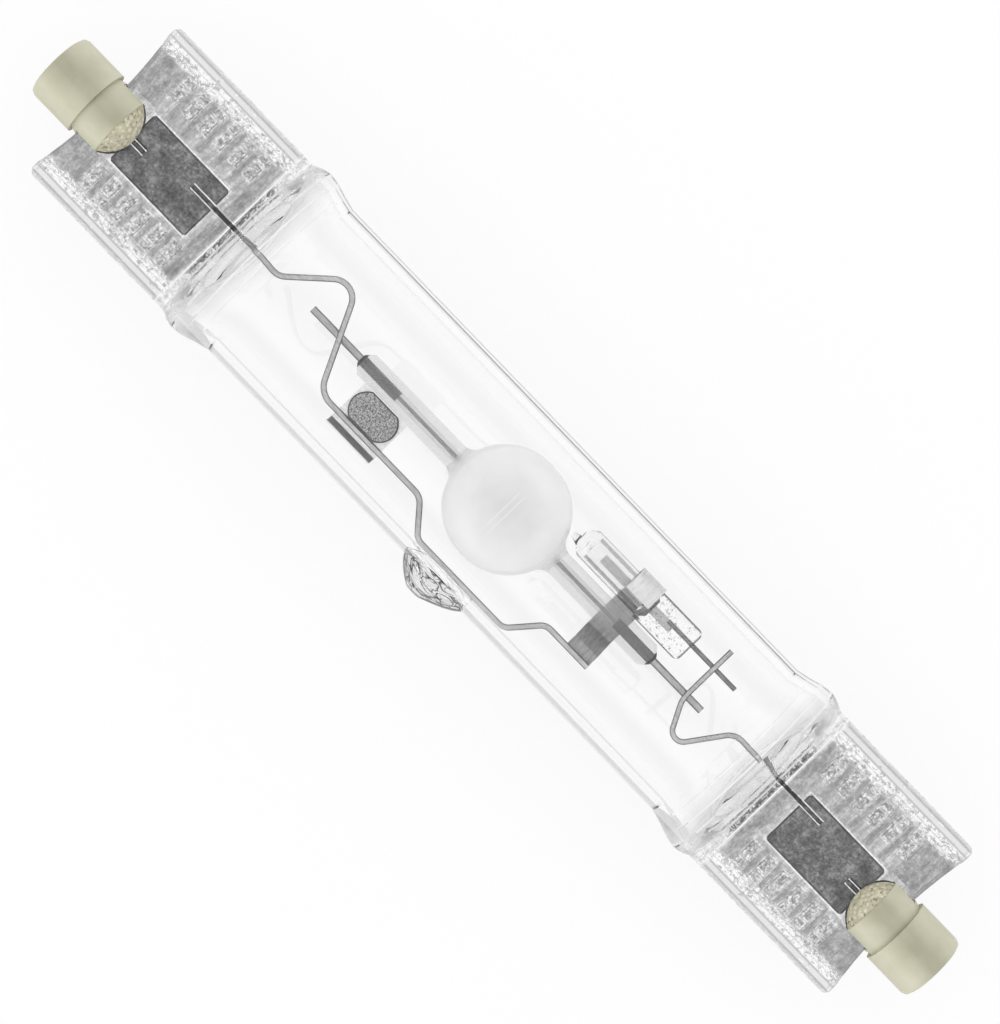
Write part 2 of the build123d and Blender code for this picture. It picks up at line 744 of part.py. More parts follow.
with BuildPart() as glow_bottle:
    with BuildSketch(bottle_plane):
        with BuildLine():
            Polyline(
                (0, 0),
                (0, bottle_nub_radius),
                (0.5 * bottle_cone_length, 0.8 * bottle_radius),
                (bottle_cone_length, bottle_radius),
                (bottle_body_length - 0.5 * bottle_cone_length, bottle_radius),
                (bottle_body_length, 0.8 * bottle_radius),
                (bottle_body_length, 0),
                close=True,
            )
        make_face()
    revolve(axis=bottle_axis)
    # Tip left by sealing off the bottle
    nub_y = bottle_y - bottle_nub_offset
    nub_origin = (bottle_start_x + bottle_nub_root, nub_y, bottle_z)
    with BuildSketch(Plane(origin=nub_origin, z_dir=(-1, 0, 0))):
        Circle(bottle_nub_radius)
    extrude(amount=bottle_nub_length + bottle_nub_root, taper=bottle_nub_taper)
    with BuildSketch(Plane.XY.offset(bottle_z - bottle_pinch_thickness / 2)) as press_plan:
        with Locations((bottle_end_x - bottle_press_overlap, bottle_y)):
            Rectangle(
                bottle_pinch_length + bottle_press_overlap,
                bottle_pinch_width,
                align=(Align.MIN, Align.CENTER),
            )
        fillet(press_plan.vertices().group_by(Axis.X)[-1], radius=bottle_press_round)
    extrude(amount=bottle_pinch_thickness)
    # The bottle's own hollow, and room for its foil and lead
    hollow_end = bottle_body_length - bottle_wall_end / 2
    with BuildSketch(bottle_plane):
        with BuildLine():
            Polyline(
                (bottle_wall_end, 0),
                (bottle_wall_end + 0.5 * bottle_cone_length, bottle_bore_radius),
                (hollow_end - 0.5 * bottle_cone_length, bottle_bore_radius),
                (hollow_end, 0),
                close=True,
            )
        make_face()
    revolve(axis=bottle_axis, mode=Mode.SUBTRACT)
    with BuildSketch(Plane.XY.offset(bottle_z - foil_thickness - foil_gap)):
        with Locations((glow_foil_x + glow_foil_length / 2, bottle_y)):
            Rectangle(glow_foil_length + 2 * foil_gap, glow_foil_width + 2 * foil_gap)
    extrude(amount=foil_thickness + 2 * foil_gap, mode=Mode.SUBTRACT)
    lead_room_origin = (glow_lead_x - foil_gap, glow_lead_y, glow_lead_z)
    with BuildSketch(Plane(origin=lead_room_origin, z_dir=(1, 0, 0))):
        Circle(glow_lead_radius + foil_gap)
    extrude(amount=bottle_pinch_length, mode=Mode.SUBTRACT)

# Ignition strip: welded behind the frame wire, folded round the bottle

strip_weld_z = frame_z - frame_wire_radius - strip_sheet / 2 - touch
strip_back_z = bottle_z - bottle_radius - strip_sheet / 2 - touch
strip_front_z = bottle_z + bottle_radius + strip_sheet / 2 + touch
strip_route = [
    (strip_bottom_y, strip_weld_z),
    (strip_bottom_y + 1.8, strip_weld_z),
    (arc_y - capillary_diameter / 2 - 0.6, strip_back_z),
    (strip_top_y, strip_back_z),
    (strip_top_y, strip_front_z),
    (strip_front_y, strip_front_z),
]
with BuildPart() as ignition_strip:
    add(
        bent_strip(
            strip_x - strip_width / 2,
            strip_width,
            strip_route,
            [0.4, 0.4, strip_round, strip_round],
            strip_sheet,
        )
    )

pieces = {
    "outer_jacket": outer_jacket,
    "left_foil": left_foil,
    "right_foil": right_foil,
    "left_outer_lead": left_outer_lead,
    "right_outer_lead": right_outer_lead,
    "left_cap": left_cap,
    "right_cap": right_cap,
    "left_cement": left_cement,
    "right_cement": right_cement,
    "left_contact": left_contact,
    "right_contact": right_contact,
    "frame_wire": frame_wire,
    "short_wire": short_wire,
    "arc_tube": arc_tube,
    "left_niobium_pin": left_niobium_pin,
    "right_niobium_pin": right_niobium_pin,
    "left_frit_seal": left_frit_seal,
    "right_frit_seal": right_frit_seal,
    "left_feedthrough_rod": left_feedthrough_rod,
    "right_feedthrough_rod": right_feedthrough_rod,
    "left_electrode": left_electrode,
    "right_electrode": right_electrode,
    "left_electrode_coil": left_electrode_coil,
    "right_electrode_coil": right_electrode_coil,
    "mercury_bead": mercury_bead,
    "halide_pellets": halide_pellets,
    "getter_holder": getter_holder,
    "getter_tablet": getter_tablet,
    "glow_bottle": glow_bottle,
    "glow_foil": glow_foil,
    "glow_lead": glow_lead,
    "ignition_strip": ignition_strip,
}

for piece_name, piece in pieces.items():
    piece.part.label = piece_name
    export_step(piece.part, f"parts/{piece_name}.step")
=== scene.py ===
"""Looks of the double ended metal halide lamp: materials, floor, soft light and camera."""

import json
from math import atan2, radians

import bpy
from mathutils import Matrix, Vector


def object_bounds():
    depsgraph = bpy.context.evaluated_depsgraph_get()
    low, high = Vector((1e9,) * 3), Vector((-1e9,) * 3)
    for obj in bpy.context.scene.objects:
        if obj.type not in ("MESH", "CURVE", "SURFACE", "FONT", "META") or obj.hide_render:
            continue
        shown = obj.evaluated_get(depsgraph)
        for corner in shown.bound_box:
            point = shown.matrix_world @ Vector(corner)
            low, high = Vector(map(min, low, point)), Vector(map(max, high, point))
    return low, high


MM = 0.001

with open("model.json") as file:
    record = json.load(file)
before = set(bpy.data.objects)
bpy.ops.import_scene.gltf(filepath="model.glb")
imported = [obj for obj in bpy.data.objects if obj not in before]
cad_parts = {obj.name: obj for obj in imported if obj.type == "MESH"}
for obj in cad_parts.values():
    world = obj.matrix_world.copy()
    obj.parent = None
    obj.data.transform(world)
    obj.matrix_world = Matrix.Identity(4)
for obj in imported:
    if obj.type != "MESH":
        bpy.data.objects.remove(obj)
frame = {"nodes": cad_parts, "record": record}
cad_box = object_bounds()
nodes = frame["nodes"]


# Colours


def channel(level):
    """One channel picked in 0 to 255, as the linear value that shaders take."""
    value = level / 255
    return value / 12.92 if level <= 10 else ((value + 0.055) / 1.055) ** 2.4


def rgb(red, green, blue):
    return (channel(red), channel(green), channel(blue), 1.0)


def grey(level):
    return rgb(level, level, level)


def share(level):
    """A grey that stands for a share from 0 to 1, as it is."""
    return (level, level, level, 1.0)


WHITE = share(1.0)
BLACK = share(0.0)


# Node helpers


def fill_ramp(color_ramp, stops):
    while len(color_ramp.elements) < len(stops):
        color_ramp.elements.new(1.0)
    for element, (position, colour) in zip(color_ramp.elements, stops):
        element.position = position
        element.color = colour


MIX_AMOUNT, MIX_FIRST, MIX_SECOND = 0, 6, 7  # a Mix node's sockets for colours
MIX_RESULT = 2


class Shader:
    """A material's node tree, with short calls for the nodes used here."""

    def __init__(self, name):
        self.material = bpy.data.materials.new(name)
        self.material.use_nodes = True
        self.tree = self.material.node_tree
        self.surface = self.tree.nodes["Principled BSDF"]
        self.place = self.tree.nodes.new("ShaderNodeTexCoord").outputs["Object"]

    def put(self, socket, value):
        if isinstance(value, bpy.types.NodeSocket):
            self.tree.links.new(value, socket)
        else:
            socket.default_value = value

    def set(self, **inputs):
        """Sets the surface's inputs, with _ for each space in their names."""
        for key, value in inputs.items():
            self.put(self.surface.inputs[key.replace("_", " ")], value)

    def node(self, kind, inputs=None, **settings):
        made = self.tree.nodes.new(kind)
        for key, value in settings.items():
            setattr(made, key, value)
        for key, value in (inputs or {}).items():
            self.put(made.inputs[key], value)
        return made

    # Numbers

    def math(self, operation, first, second=0.0, third=0.0):
        made = self.node("ShaderNodeMath", operation=operation)
        for socket, value in zip(made.inputs, (first, second, third)):
            self.put(socket, value)
        return made.outputs[0]

    def both(self, first, second):
        return self.math("MULTIPLY", first, second)

    def either(self, first, second):
        return self.math("MAXIMUM", first, second)

    def over(self, value, limit):
        return self.math("GREATER_THAN", value, limit)

    def under(self, value, limit):
        return self.math("LESS_THAN", value, limit)

    def away(self, value, middle):
        return self.math("ABSOLUTE", self.math("SUBTRACT", value, middle))

    def line(self, value, middle, half_width):
        return self.under(self.away(value, middle), half_width)

    def rise(self, value, start, end):
        """0 up to start, 1 from end on, and even between them."""
        return self.node(
            "ShaderNodeMapRange", {"Value": value, "From Min": start, "From Max": end}
        ).outputs[0]

    # Places and directions

    def part_of(self, vector, letter):
        return self.node("ShaderNodeSeparateXYZ", {"Vector": vector}).outputs[letter]

    def axis(self, letter):
        return self.part_of(self.place, letter)

    def upward(self):
        """How far the surface faces up: 1 on top, 0 at an upright side, -1 below."""
        return self.part_of(self.node("ShaderNodeNewGeometry").outputs["Normal"], "Z")

    def stretched(self, x=1.0, y=1.0, z=1.0):
        return self.node(
            "ShaderNodeMapping", {"Vector": self.place, "Scale": (x, y, z)}
        ).outputs[0]

    # Textures and colours

    def noise(self, per_mm, detail=3.0, roughness=0.55, vector=None, distortion=0.0):
        return self.node(
            "ShaderNodeTexNoise",
            {
                "Vector": vector or self.place,
                "Scale": per_mm / MM,
                "Detail": detail,
                "Roughness": roughness,
                "Distortion": distortion,
            },
        ).outputs["Fac"]

    def cells(self, per_mm):
        return self.node(
            "ShaderNodeTexVoronoi", {"Vector": self.place, "Scale": per_mm / MM}
        ).outputs["Distance"]

    def ramp(self, value, *stops):
        made = self.node("ShaderNodeValToRGB", {"Fac": value})
        fill_ramp(made.color_ramp, stops)
        return made.outputs["Color"]

    def mixed(self, amount, first, second):
        made = self.node("ShaderNodeMix", data_type="RGBA")
        self.put(made.inputs[MIX_AMOUNT], amount)
        self.put(made.inputs[MIX_FIRST], first)
        self.put(made.inputs[MIX_SECOND], second)
        return made.outputs[MIX_RESULT]

    def bump(self, height, strength, depth_mm):
        return self.node(
            "ShaderNodeBump",
            {"Height": height, "Strength": strength, "Distance": depth_mm * MM},
        ).outputs["Normal"]


# The quartz jacket

QUARTZ_IOR = 1.46
PINCH_Y = 0.95 * MM  # middle of the pinches
RIB_Z = 1.26 * MM  # over this height the press left ribs, and over the next one pads
PAD_Z = 1.4 * MM
PAD_X = 44.9 * MM  # middle of the first pads, then one every column
COLUMN_PITCH = 2.3 * MM
PITCHES = 5  # from the first pads to the last
PAD_MARGIN = 1.0 * MM
PAD_HALF_LENGTH = 0.6 * MM
PAD_ROWS = ((6.0 * MM, 0.95 * MM), (7.75 * MM, 0.4 * MM))  # place and half width
PAD_RIM = 0.16  # half width of a pad's rim of painted highlight, as a share of the pad
RIM_BREAKS = 0.49  # the painted highlight is missing where the mottle is under this
FOIL_X = 50.7 * MM
FOIL_Y = 0.3 * MM
WINDOW_HALF_LENGTH = 6.0 * MM  # of the raised flat over the foil
WINDOW_HALF_WIDTH = 3.65 * MM
SOOT_X = 55.3 * MM
SOOT_Y = 0.1 * MM
SOOT_HALF_LENGTH = 0.9 * MM
SOOT_HALF_WIDTH = 0.5 * MM
SOOT_HEIGHT = 0.7 * MM
WANDER = 1.8 * MM  # how far the edges of the painted sparkle rim wander
PRESS_WANDER = 0.3  # the start of the press wanders by this share of it
SPARK_START = 8.5 * MM  # from the middle of a pinch
SPARK_END = 9.9 * MM
# lines of painted shade along the bead
BEAD_LINES = (9.95 * MM, 10.7 * MM, 11.4 * MM)
BEAD_LINE_HALF_WIDTH = 0.1 * MM
PRESS_START = 41.3 * MM
PRESS_LINES = (40.75 * MM, 41.8 * MM)
PRESS_LINE_HALF_WIDTH = 0.18 * MM
PRESS_DOTS = 0.51  # these lines of painted shade show where the mottle is under this
PRESS_BORDER = 42.2 * MM
PRESS_BORDER_HALF_WIDTH = 0.16 * MM
SHADE_RISE = (36.5 * MM, 39.5 * MM)  # painted shade: the shoulder darkens towards the press, then clears
SHADE_FALL = (41.0 * MM, 39.9 * MM)
LOWER_EDGE_Y = -9.65 * MM  # below this the tube's wall is seen edge on and gets a darker line of painted shade
END_X = 60.5 * MM  # the pinch's end in its middle, and how its hollow curves
END_CURVE = 1 / (120 * MM)
END_LINE_HALF_WIDTH = 0.1 * MM
TIP_START = 8.9 * MM  # below this, and this near its middle, the glass is the exhaust tip
TIP_X = 0.1 * MM
TIP_HALF_LENGTH = 4.3 * MM
TIP_EDGE = 0.7  # it gets painted shade where it turns away more than this
CORNER_RISE = (38.8 * MM, 40.0 * MM)  # the shoulders' solid corners, along the lamp
CORNER_FALL = (42.8 * MM, 42.2 * MM)
CORNER_SIDE = (5.8 * MM, 7.0 * MM)  # and across it
RIM_SIDE = (8.0 * MM, 8.6 * MM)
CLEAR_CORNER = 0.65  # shares of light that go straight through solid glass
CLEAR_RIM = 0.325
CLEAR_TIP = 0.845
UNEVEN = 0.4  # strength of the bumps in pressed glass


class JacketGlass(Shader):
    """Clear in the tube; the pinches get a grey tint of painted shade, with painted glints on
    pads and rims.
    """

    def __init__(self):
        super().__init__("quartz")
        self.set(Roughness=0.0, IOR=QUARTZ_IOR, Transmission_Weight=1.0)
        self.along = self.away(self.axis("X"), 0.0)
        self.across = self.away(self.axis("Y"), PINCH_Y)
        self.height = self.away(self.axis("Z"), 0.0)
        self.mottle = self.noise(2.0, detail=3.0, roughness=0.8)
        streaks = self.noise(
            1.5, detail=2.5, roughness=0.75, vector=self.stretched(1.0, 0.25, 0.25)
        )
        self.grain = self.both(self.math("ADD", streaks, self.mottle), 0.5)
        wander = self.noise(0.9, detail=2.0)
        self.wander = self.math("MULTIPLY_ADD", wander, WANDER, -WANDER / 2)
        self.pressed = self.over(
            self.math("MULTIPLY_ADD", self.wander, PRESS_WANDER, self.along), PRESS_START
        )
        self.facing = self.node("ShaderNodeLayerWeight", {"Blend": 0.5}).outputs["Facing"]

    def web(self):
        """Painted shade in the grooves, lighter painted grey on the ribs across them, and pads
        on the ribs with painted glints.
        """
        groove = self.ramp(self.grain, (0.38, grey(126)), (0.5, grey(163)), (0.62, grey(215)))
        rib = self.ramp(self.grain, (0.4, grey(160)), (0.5, grey(190)), (0.6, grey(235)))
        pad = self.ramp(self.mottle, (0.42, grey(130)), (0.52, grey(196)), (0.58, grey(250)))
        tint = self.mixed(self.over(self.height, RIB_Z), groove, rib)
        return self.mixed(self.over(self.height, PAD_Z), tint, pad)

    # Painted highlights round the pads.
    def painted_pad_glints(self, tint):
        half_reach = PITCHES / 2 * COLUMN_PITCH
        in_pads = self.line(self.along, PAD_X + half_reach, half_reach + PAD_MARGIN)
        broken = self.both(in_pads, self.over(self.mottle, RIM_BREAKS))
        from_first = self.math("SUBTRACT", self.along, PAD_X)
        lengthwise = self.math(
            "DIVIDE", self.math("PINGPONG", from_first, COLUMN_PITCH / 2), PAD_HALF_LENGTH
        )
        for row, half_width in PAD_ROWS:
            sideways = self.math("DIVIDE", self.away(self.across, row), half_width)
            rim = self.line(self.either(lengthwise, sideways), 1.0, PAD_RIM)
            tint = self.mixed(self.both(broken, rim), tint, grey(246))
        return tint

    def foil_window(self, tint):
        """The raised flat over the foil is clearer: its painted grey is lighter."""
        window = self.both(
            self.line(self.axis("Y"), FOIL_Y, WINDOW_HALF_WIDTH),
            self.line(self.along, FOIL_X, WINDOW_HALF_LENGTH),
        )
        clearer = self.ramp(self.grain, (0.4, grey(205)), (0.5, grey(240)), (0.56, grey(255)))
        return self.mixed(window, tint, clearer)

    def soot(self, tint):
        """The hole round each outer lead is sooty where it meets the foil."""
        hole = self.both(
            self.line(self.along, SOOT_X, SOOT_HALF_LENGTH),
            self.line(self.axis("Y"), SOOT_Y, SOOT_HALF_WIDTH),
        )
        return self.mixed(self.both(hole, self.under(self.height, SOOT_HEIGHT)), tint, grey(46))

    def rims(self, tint):
        """A rim of painted sparkle along each side of a pinch, and a bead with lines of painted
        shade outside it.
        """
        spark = self.ramp(
            self.noise(1.6, detail=2.0, roughness=0.8),
            (0.42, grey(120)),
            (0.46, grey(220)),
            (0.49, grey(255)),
        )
        edge = self.math("ADD", self.across, self.wander)
        tint = self.mixed(self.over(edge, SPARK_START), tint, spark)
        tint = self.mixed(self.over(edge, SPARK_END), tint, WHITE)
        for line in BEAD_LINES:
            tint = self.mixed(
                self.line(self.across, line, BEAD_LINE_HALF_WIDTH), tint, grey(164)
            )
        return tint

    def tube(self):
        """Clear, with painted shade where it turns away, along its lower edge, and on the
        shoulders next to the press.
        """
        edge_shade = self.ramp(
            self.facing,
            (0.55, grey(255)),
            (0.75, grey(246)),
            (0.88, grey(218)),
            (1.0, grey(200)),
        )
        lower_edge = self.under(self.axis("Y"), LOWER_EDGE_Y)
        clear = self.mixed(lower_edge, edge_shade, grey(180))
        shade = self.both(self.rise(self.along, *SHADE_RISE), self.rise(self.along, *SHADE_FALL))
        return self.mixed(shade, clear, grey(238))

    def press_start(self, tint):
        """A painted highlight border and two dotted lines of painted shade where the press
        began.
        """
        border = self.line(self.along, PRESS_BORDER, PRESS_BORDER_HALF_WIDTH)
        tint = self.mixed(border, tint, WHITE)
        dots = self.under(self.mottle, PRESS_DOTS)
        for line in PRESS_LINES:
            dotted = self.both(dots, self.line(self.along, line, PRESS_LINE_HALF_WIDTH))
            tint = self.mixed(dotted, tint, grey(74))
        return tint

    # A line of painted shade across the pinch's end.
    def pinch_end(self, tint):
        hollow = self.both(self.both(self.across, self.across), END_CURVE)
        end = self.line(self.math("SUBTRACT", self.along, hollow), END_X, END_LINE_HALF_WIDTH)
        return self.mixed(end, tint, grey(150))

    def exhaust_tip(self):
        """Where the tip is, and where it gets painted shade: along its creases and where it
        turns away.
        """
        below = self.over(self.both(self.axis("Y"), -1.0), TIP_START)
        tip = self.both(below, self.line(self.axis("X"), TIP_X, TIP_HALF_LENGTH))
        crumple = self.noise(
            0.7, detail=1.0, distortion=0.5, vector=self.stretched(0.35, 1.0, 1.0)
        )
        folds = self.ramp(
            crumple,
            (0.41, BLACK),
            (0.45, WHITE),
            (0.48, BLACK),
            (0.53, BLACK),
            (0.56, WHITE),
            (0.6, BLACK),
        )
        crease_shade = self.either(folds, self.over(self.facing, TIP_EDGE))
        return tip, self.both(tip, crease_shade)

    def opacity(self, tip, crease_shade):
        """Solid corners, rims and the tip let more light straight through."""
        corner = self.both(
            self.rise(self.along, *CORNER_RISE), self.rise(self.along, *CORNER_FALL)
        )
        corner = self.both(corner, self.rise(self.across, *CORNER_SIDE))
        rim = self.both(self.pressed, self.rise(self.across, *RIM_SIDE))
        plain_tip = self.both(tip, self.math("SUBTRACT", 1.0, crease_shade))
        clear = self.either(self.both(rim, CLEAR_RIM), self.both(corner, CLEAR_CORNER))
        clear = self.either(clear, self.both(plain_tip, CLEAR_TIP))
        return self.math("SUBTRACT", 1.0, clear)


def quartz():
    glass = JacketGlass()
    pinch = glass.painted_pad_glints(glass.web())
    pinch = glass.rims(glass.soot(glass.foil_window(pinch)))
    tint = glass.mixed(glass.pressed, glass.tube(), pinch)
    tint = glass.pinch_end(glass.press_start(tint))
    tip, crease_shade = glass.exhaust_tip()
    # Painted shade on the tip's creases and outline
    glass.set(Base_Color=glass.mixed(crease_shade, tint, grey(70)))
    glass.set(Alpha=glass.opacity(tip, crease_shade))
    uneven = glass.both(glass.either(glass.pressed, tip), UNEVEN)
    glass.set(Normal=glass.bump(glass.noise(1.3, detail=1.5), uneven, 0.1))
    return glass.material


# The glow bottle

BOTTLE_Y = 5.25 * MM
BOTTLE_PRESS_X = 18.6 * MM
BOTTLE_END_X = 24.45 * MM
BOTTLE_EDGE = 1.68 * MM  # the painted shade of the outline starts this far from the bottle's middle
BOTTLE_PRESS_EDGE = 1.95 * MM


def bottle_quartz():
    """The small bottle's wall is thick for its size, so its outline gets painted shade."""
    glass = Shader("bottle_quartz")
    glass.set(Roughness=0.0, IOR=QUARTZ_IOR, Transmission_Weight=1.0)
    along = glass.axis("X")
    pressed = glass.over(along, BOTTLE_PRESS_X)
    wall = glass.math("MULTIPLY_ADD", pressed, BOTTLE_PRESS_EDGE - BOTTLE_EDGE, BOTTLE_EDGE)
    side_shade = glass.over(glass.away(glass.axis("Y"), BOTTLE_Y), wall)
    outline = glass.either(side_shade, glass.over(along, BOTTLE_END_X))
    speckle = glass.noise(2.0, detail=4.0, roughness=0.8)
    grains = glass.ramp(speckle, (0.37, grey(70)), (0.41, grey(235)), (0.46, grey(255)))
    tint = glass.mixed(pressed, grey(248), grains)
    glass.set(Base_Color=glass.mixed(outline, tint, grey(120)))
    glass.set(Normal=glass.bump(glass.noise(0.9), 0.3, 0.1))
    return glass.material


# Metals

LEAD_SEAL = 41.6 * MM  # beyond this the leads are held in glass
NEVER_SEALED = 1.0  # further away than any wire reaches
WIRE_SIDE = 0.68  # sides that face up less than this get painted shade
STRIP_FOOT_Y = 0.0
STRIP_BAND_Y = 5.0 * MM
FOIL_EDGE_Y = 3.25 * MM  # from the foil's middle
FOIL_EDGE_X = 5.6 * MM
FOIL_EDGE_BREAKS = 0.47  # the dark edge is missing where the mottle is under this
MOTTLE_SHARE = 0.55  # of a foil's tone, and the rest is blotches


def metal(name, dark, light, roughness, metallic=1.0):
    plain = Shader(name)
    grain = plain.noise(6.0, vector=plain.stretched(0.25, 1.0, 1.0))
    plain.set(Metallic=metallic, Roughness=roughness)
    plain.set(Base_Color=plain.ramp(grain, (0.3, dark), (0.7, light)))
    plain.set(Normal=plain.bump(grain, 0.2, 0.03))
    return plain.material


def drawn_wire(name, side_shade, dark, light, sealed_from):
    """Drawn wire, with painted shade on the sides, and burnt where glass holds it."""
    wire = Shader(name)
    grain = wire.noise(4.0, vector=wire.stretched(0.25, 1.0, 1.0))
    colour = wire.ramp(grain, (0.3, dark), (0.7, light))
    colour = wire.mixed(wire.line(wire.upward(), 0.0, WIRE_SIDE), colour, side_shade)
    burnt = wire.ramp(wire.noise(1.6, detail=3.0), (0.45, grey(22)), (0.6, grey(110)))
    sealed = wire.over(wire.away(wire.axis("X"), 0.0), sealed_from)
    wire.set(Metallic=0.8, Roughness=0.3)
    wire.set(Base_Color=wire.mixed(sealed, colour, burnt))
    wire.set(Normal=wire.bump(grain, 0.2, 0.03))
    return wire.material


def strip_metal():
    """A ribbon, darker where it runs down to the frame wire and brighter round the bottle."""
    ribbon = Shader("strip_metal")
    grain = ribbon.noise(4.0, vector=ribbon.stretched(1.0, 0.2, 0.2))
    lower_tone = ribbon.ramp(grain, (0.35, grey(138)), (0.65, grey(170)))
    bright = ribbon.ramp(grain, (0.35, grey(226)), (0.65, grey(250)))
    towards_bottle = ribbon.rise(ribbon.axis("Y"), STRIP_FOOT_Y, STRIP_BAND_Y)
    ribbon.set(Metallic=0.4, Roughness=0.45)
    ribbon.set(Base_Color=ribbon.mixed(towards_bottle, lower_tone, bright))
    ribbon.set(Normal=ribbon.bump(grain, 0.25, 0.04))
    return ribbon.material


def foil():
    """Etched grey sheet, blotched by the heat of the press and darker along its edges."""
    sheet = Shader("molybdenum_foil")
    mottle = sheet.noise(2.6, detail=4.0, roughness=0.8)
    blotch = sheet.both(sheet.noise(0.5, detail=3.0), 1 - MOTTLE_SHARE)
    tone = sheet.math("MULTIPLY_ADD", mottle, MOTTLE_SHARE, blotch)
    lengthwise = sheet.away(sheet.away(sheet.axis("X"), 0.0), FOIL_X)
    edge = sheet.either(
        sheet.over(sheet.away(sheet.axis("Y"), FOIL_Y), FOIL_EDGE_Y),
        sheet.over(lengthwise, FOIL_EDGE_X),
    )
    body = sheet.ramp(tone, (0.4, grey(72)), (0.5, grey(128)), (0.6, grey(194)))
    broken_edge = sheet.both(edge, sheet.over(mottle, FOIL_EDGE_BREAKS))
    sheet.set(Metallic=0.3, Roughness=0.55)
    sheet.set(Base_Color=sheet.mixed(broken_edge, body, grey(58)))
    sheet.set(Normal=sheet.bump(mottle, 0.3, 0.06))
    return sheet.material


# Ceramics, cement and powders

CAP_BAND_Y = 0.5 * MM
CAP_BAND = (3.2 * MM, 0.6 * MM)  # the painted shade band along a cap begins and is full this far away
CAP_MOUTH = (58.2 * MM, 56.4 * MM)  # and so is the painted shadow towards the cement
ARC_X = 0.3 * MM
ARC_Y = 1.5 * MM
BALL_REACH = 6.8 * MM
BALL_SKIN = 6.62 * MM  # beyond this the ball's wall is seen edge on and gets a rim of painted glow
NECK_LENGTH = 1.2 * MM
SEAM_X = 0.35 * MM  # two seams, drawn as painted highlight lines, this far from the middle of the ball
SEAM_HALF_WIDTH = 0.09 * MM
SEAM_Y = 0.4 * MM
SEAM_HALF_LENGTH = 3.2 * MM
CLOUD_REACH = 2.4 * MM  # how far the cloud moves the ball's shading
BALL_OPACITY = 0.92
STEM_OPACITY = 0.2
# strength of the ball's painted glow
PAINTED_GLOW = 0.18
TABLET_FACE = 0.9  # the getter tablet's face looks up more than this, and the rest gets painted shade


def cap_ceramic():
    """Cream steatite, with painted shade along the middle and a painted shadow where the cement
    begins.
    """
    cap = Shader("cap_ceramic")
    cloud = cap.noise(0.3, detail=4.0)
    unshaded = cap.ramp(cloud, (0.3, rgb(200, 198, 174)), (0.7, rgb(212, 210, 188)))
    shaded = cap.ramp(cloud, (0.3, rgb(156, 154, 131)), (0.7, rgb(170, 168, 146)))
    middle_shade = cap.rise(cap.away(cap.axis("Y"), CAP_BAND_Y), *CAP_BAND)
    mouth_shadow = cap.rise(cap.away(cap.axis("X"), 0.0), *CAP_MOUTH)
    cap.set(Roughness=0.6)
    cap.set(Base_Color=cap.mixed(cap.either(middle_shade, mouth_shadow), unshaded, shaded))
    cap.set(Normal=cap.bump(cap.noise(5.0), 0.15, 0.03))
    return cap.material


def cement():
    paste = Shader("cap_cement")
    grains = paste.cells(2.0)
    body = paste.ramp(grains, (0.1, rgb(226, 222, 200)), (0.6, rgb(192, 187, 162)))
    specks = paste.noise(2.2, detail=3.0, roughness=0.8)
    speck = paste.ramp(specks, (0.56, BLACK), (0.62, WHITE))
    paste.set(Roughness=0.9)
    paste.set(Base_Color=paste.mixed(speck, body, rgb(140, 132, 106)))
    paste.set(Normal=paste.bump(grains, 0.7, 0.2))
    return paste.material


def painted_glow(ball, from_middle, cloud):
    """A painted glow, as if light from behind came through the ball's wall, with painted shade
    where the electrodes would shade it, a rim of painted glow and painted highlights on the
    seams.
    """
    spread = ball.math(
        "SQRT",
        ball.math(
            "ADD",
            ball.math("POWER", from_middle, 2.0),
            ball.math("POWER", ball.math("SUBTRACT", ball.axis("Y"), ARC_Y), 2.0),
        ),
    )
    nearer = ball.math("SUBTRACT", spread, CLOUD_REACH / 2)
    clouded = ball.math("MULTIPLY_ADD", cloud, CLOUD_REACH, nearer)
    glow_colour = ball.ramp(
        ball.math("DIVIDE", clouded, BALL_REACH),
        (0.1, share(0.0)),
        (0.45, share(0.3)),
        (0.7, share(0.85)),
        (0.95, share(1.0)),
    )
    glow_colour = ball.mixed(ball.over(spread, BALL_SKIN), glow_colour, grey(190))
    seam_highlight = ball.both(
        ball.line(ball.axis("Y"), SEAM_Y, SEAM_HALF_LENGTH),
        ball.line(from_middle, SEAM_X, SEAM_HALF_WIDTH),
    )
    return ball.mixed(seam_highlight, glow_colour, grey(196))


def alumina():
    """Milky in the ball, clearer in the capillaries, where the feedthroughs show; the ball glows
    with painted light.
    """
    ball = Shader("arc_ceramic")
    cloud = ball.noise(0.35, detail=2.0)
    from_middle = ball.away(ball.axis("X"), ARC_X)
    stem = ball.rise(from_middle, BALL_REACH, BALL_REACH + NECK_LENGTH)
    body = ball.ramp(cloud, (0.3, grey(248)), (0.7, grey(253)))
    glow_colour = painted_glow(ball, from_middle, cloud)
    ball.set(Roughness=0.3, IOR=1.5, Emission_Strength=PAINTED_GLOW)
    ball.set(Base_Color=ball.mixed(stem, body, grey(216)))
    ball.set(Alpha=ball.math("MULTIPLY_ADD", stem, STEM_OPACITY - BALL_OPACITY, BALL_OPACITY))
    ball.set(Emission_Color=ball.mixed(stem, glow_colour, BLACK))
    ball.set(Normal=ball.bump(ball.noise(6.0), 0.1, 0.02))
    return ball.material


def getter_powder():
    """Pressed grey grains, with painted shade round the tablet's side."""
    grit = Shader("getter_powder")
    grains = grit.noise(4.6, detail=3.0, roughness=0.9)
    face = grit.ramp(grains, (0.38, grey(60)), (0.49, grey(140)), (0.58, grey(215)))
    grit.set(Roughness=0.85)
    grit.set(Base_Color=grit.mixed(grit.over(grit.upward(), TABLET_FACE), grey(52), face))
    grit.set(Normal=grit.bump(grains, 0.8, 0.12))
    return grit.material


